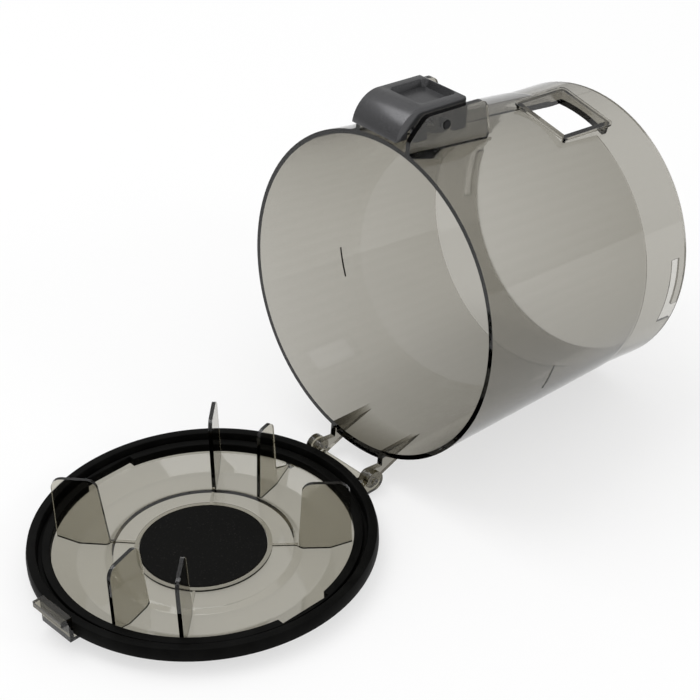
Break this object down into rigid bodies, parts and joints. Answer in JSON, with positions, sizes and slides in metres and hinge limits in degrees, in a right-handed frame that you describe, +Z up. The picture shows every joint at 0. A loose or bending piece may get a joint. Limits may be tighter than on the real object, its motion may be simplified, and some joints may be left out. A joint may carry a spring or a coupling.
{
  "type": "cyclone dust bin",
  "caption": "Tapered see-through dust bin with a top latch, side inlet port and a hinged, sealed bottom lid with fins, lying open.",
  "frame": {"origin": "on the floor, midway between the lid's catch and the far rim's top", "axes": "+Z up, +X from the lid's catch past the hinge along the bin, Y along the hinge axis"},
  "size_m": [0.3258, 0.1524, 0.1756],
  "materials": {
    "smoke_plastic": "clear smoke-grey, polished",
    "seal_rubber": "satin black",
    "pad_rubber": "matt black",
    "button_plastic": "dark metallic grey",
    "pin_steel": "dark steel",
    "spring_steel": "drawn wire"
  },
  "bodies": {
    "bin": {"bin_body": "smoke_plastic", "latch_pin": "pin_steel", "latch_spring": "spring_steel"},
    "lid": {"lid": "smoke_plastic", "lid_seal": "seal_rubber", "centre_pad": "pad_rubber"},
    "release_button": {"release_button": "button_plastic"}
  },
  "joints": [
    {"name": "lid_hinge", "type": "hinge", "parent": "bin", "child": "lid", "pos_m": [0.0019, 0, 0.005], "axis": [0, 1, 0], "range_deg": [-12, 98.3]},
    {"name": "button_press", "type": "hinge", "parent": "bin", "child": "release_button", "pos_m": [0.05332, 0, 0.16425], "axis": [0, 1, 0], "range_deg": [0, 10], "stiffness_Nm_per_rad": 0.4, "springref_deg": -5.73, "deforming": ["latch_spring"]}
  ]
}
